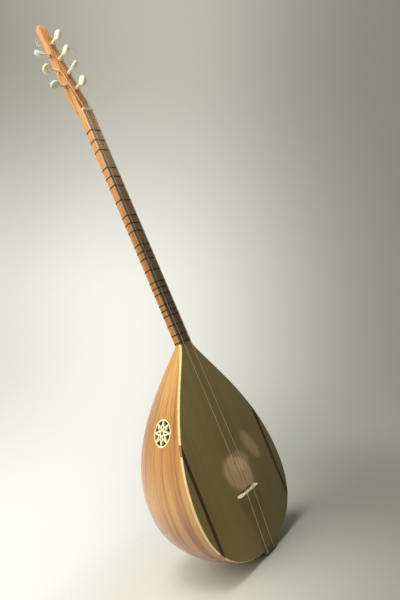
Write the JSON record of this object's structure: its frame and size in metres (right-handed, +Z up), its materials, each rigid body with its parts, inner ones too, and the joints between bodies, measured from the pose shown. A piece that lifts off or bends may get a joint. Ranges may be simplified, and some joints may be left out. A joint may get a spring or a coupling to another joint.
{
  "type": "saz",
  "caption": "Long-necked lute with a deep ribbed bowl, flat soundboard, tied frets, tuning pegs that turn, floating bridge and a fretted rose in its side.",
  "frame": {"origin": "tail end of the soundboard's top surface, on the centre line, where a stand's lower yoke carries the bowl", "axes": "+Z up along the neck, +X to the right as the soundboard is faced, -Y out of the soundboard"},
  "size_m": [0.2842, 0.2324, 1.1958],
  "materials": {
    "bowl_wood": "glossy lacquer",
    "spruce": "glossy lacquer",
    "dark_strip": "glossy lacquer",
    "lime_block": "raw",
    "neck_wood": "satin lacquer",
    "fingerboard_wood": "satin",
    "holder_wood": "satin",
    "gut": "semi-matte nylon",
    "bone": "polished bone",
    "peg_ivory": "polished",
    "rose_ivory": "semi-gloss",
    "steel": "bright wire",
    "wound_string": "wound wire"
  },
  "bodies": {
    "instrument": {"bowl_stave_1": "bowl_wood", "bowl_stave_10": "bowl_wood", "bowl_stave_11": "bowl_wood", "bowl_stave_2": "bowl_wood", "bowl_stave_3": "bowl_wood", "bowl_stave_4": "bowl_wood", "bowl_stave_5": "bowl_wood", "bowl_stave_6": "bowl_wood", "bowl_stave_7": "bowl_wood", "bowl_stave_8": "bowl_wood", "bowl_stave_9": "bowl_wood", "brace_1": "spruce", "brace_2": "spruce", "bridge": "bone", "fingerboard": "fingerboard_wood", "frets": "gut", "lining_left": "spruce", "lining_right": "spruce", "neck": "neck_wood", "neck_block": "lime_block", "nut": "bone", "peghead": "neck_wood", "rosette": "rose_ivory", "soundboard_centre": "spruce", "soundboard_strip_left": "dark_strip", "soundboard_strip_right": "dark_strip", "soundboard_wing_left": "spruce", "soundboard_wing_right": "spruce", "string_1": "steel", "string_2": "wound_string", "string_3": "steel", "string_4": "steel", "string_5": "steel", "string_6": "wound_string", "string_7": "steel", "string_holder": "holder_wood", "string_pins": "steel", "tail_block": "lime_block"},
    "front_1_peg": {"peg_front_1": "peg_ivory", "winding_front_1": "steel"},
    "front_2_peg": {"peg_front_2": "peg_ivory", "winding_front_2": "steel"},
    "front_3_peg": {"peg_front_3": "peg_ivory", "winding_front_3": "wound_string"},
    "front_4_peg": {"peg_front_4": "peg_ivory", "winding_front_4": "steel"},
    "side_1_peg": {"peg_side_1": "peg_ivory", "winding_side_1": "steel"},
    "side_2_peg": {"peg_side_2": "peg_ivory", "winding_side_2": "wound_string"},
    "side_3_peg": {"peg_side_3": "peg_ivory", "winding_side_3": "steel"}
  },
  "joints": [
    {"name": "front_1_tuning", "type": "hinge", "parent": "instrument", "child": "front_1_peg", "pos_m": [0, 0.0199, 1.00828], "axis": [0, -0.9914, 0.1305], "continuous": true},
    {"name": "front_2_tuning", "type": "hinge", "parent": "instrument", "child": "front_2_peg", "pos_m": [0, 0.02525, 1.04893], "axis": [0, -0.9914, 0.1305], "continuous": true},
    {"name": "front_3_tuning", "type": "hinge", "parent": "instrument", "child": "front_3_peg", "pos_m": [0, 0.0306, 1.08958], "axis": [0, -0.9914, 0.1305], "continuous": true},
    {"name": "front_4_tuning", "type": "hinge", "parent": "instrument", "child": "front_4_peg", "pos_m": [0, 0.03595, 1.13023], "axis": [0, -0.9914, 0.1305], "continuous": true},
    {"name": "side_1_tuning", "type": "hinge", "parent": "instrument", "child": "side_1_peg", "pos_m": [-0.01287, 0.02972, 1.02161], "axis": [-1, 0, 0], "continuous": true},
    {"name": "side_2_tuning", "type": "hinge", "parent": "instrument", "child": "side_2_peg", "pos_m": [-0.01236, 0.03507, 1.06226], "axis": [-1, 0, 0], "continuous": true},
    {"name": "side_3_tuning", "type": "hinge", "parent": "instrument", "child": "side_3_peg", "pos_m": [-0.01185, 0.04042, 1.10291], "axis": [-1, 0, 0], "continuous": true}
  ]
}
